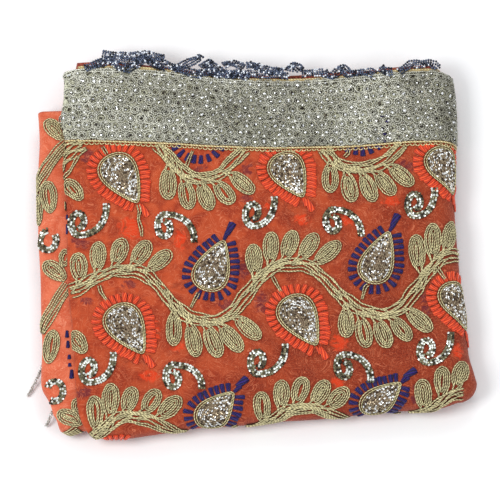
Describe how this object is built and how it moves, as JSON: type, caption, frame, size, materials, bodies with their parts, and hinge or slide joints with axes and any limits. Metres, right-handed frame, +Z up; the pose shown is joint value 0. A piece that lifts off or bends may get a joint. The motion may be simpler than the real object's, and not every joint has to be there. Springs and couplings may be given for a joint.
{
  "type": "folded dupatta",
  "caption": "Folded embroidered net dupatta lying flat, with a wide stone border, raised cord vine and leaves, crystal drops, beaded scrolls and a bead lace edge",
  "frame": {"origin": "centre of the underside of the folded stack's bounding box, on the surface it lies on", "axes": "+X right along the border, +Y back towards the border, +Z up from the surface"},
  "size_m": [0.45, 0.4165, 0.0414],
  "materials": {
    "net": "sheer matte orange net over further layers of the same net",
    "under_net": "matte orange net, folded layers",
    "satin_thread": "satin stitch in shiny orange-red and navy thread",
    "stone_border": "metallic thread rings and faceted stones on a net band",
    "zari_cord": "antique gold metallic cord, twisted, soft shine",
    "crystal": "small faceted silver and grey-brown beads",
    "steel_bead": "shiny steel-grey seed beads"
  },
  "bodies": {
    "root": {"lower_layers": "under_net", "upper_layers": "under_net", "top_panel": "net", "left_fold": "net", "stone_border": "stone_border", "braid": "zari_cord", "vine_upper_left": "zari_cord", "vine_upper_right": "zari_cord", "vine_middle": "zari_cord", "vine_lower_left": "zari_cord", "vine_lower_middle": "zari_cord", "vine_lower_right": "zari_cord", "drop_orange_1": "crystal", "drop_orange_2": "crystal", "drop_orange_3": "crystal", "drop_orange_4": "crystal", "drop_orange_5": "crystal", "drop_orange_6": "crystal", "drop_navy_1": "crystal", "drop_navy_2": "crystal", "drop_navy_3": "crystal", "drop_navy_4": "crystal", "scroll_1": "crystal", "scroll_2": "crystal", "scroll_3": "crystal", "scroll_4": "crystal", "scroll_5": "crystal", "scroll_6": "crystal", "scroll_7": "crystal", "scroll_8": "crystal", "scroll_9": "crystal", "scroll_10": "crystal", "bead_lace": "steel_bead", "bead_strand_left": "steel_bead", "bead_strand_front": "steel_bead"}
  },
  "joints": []
}
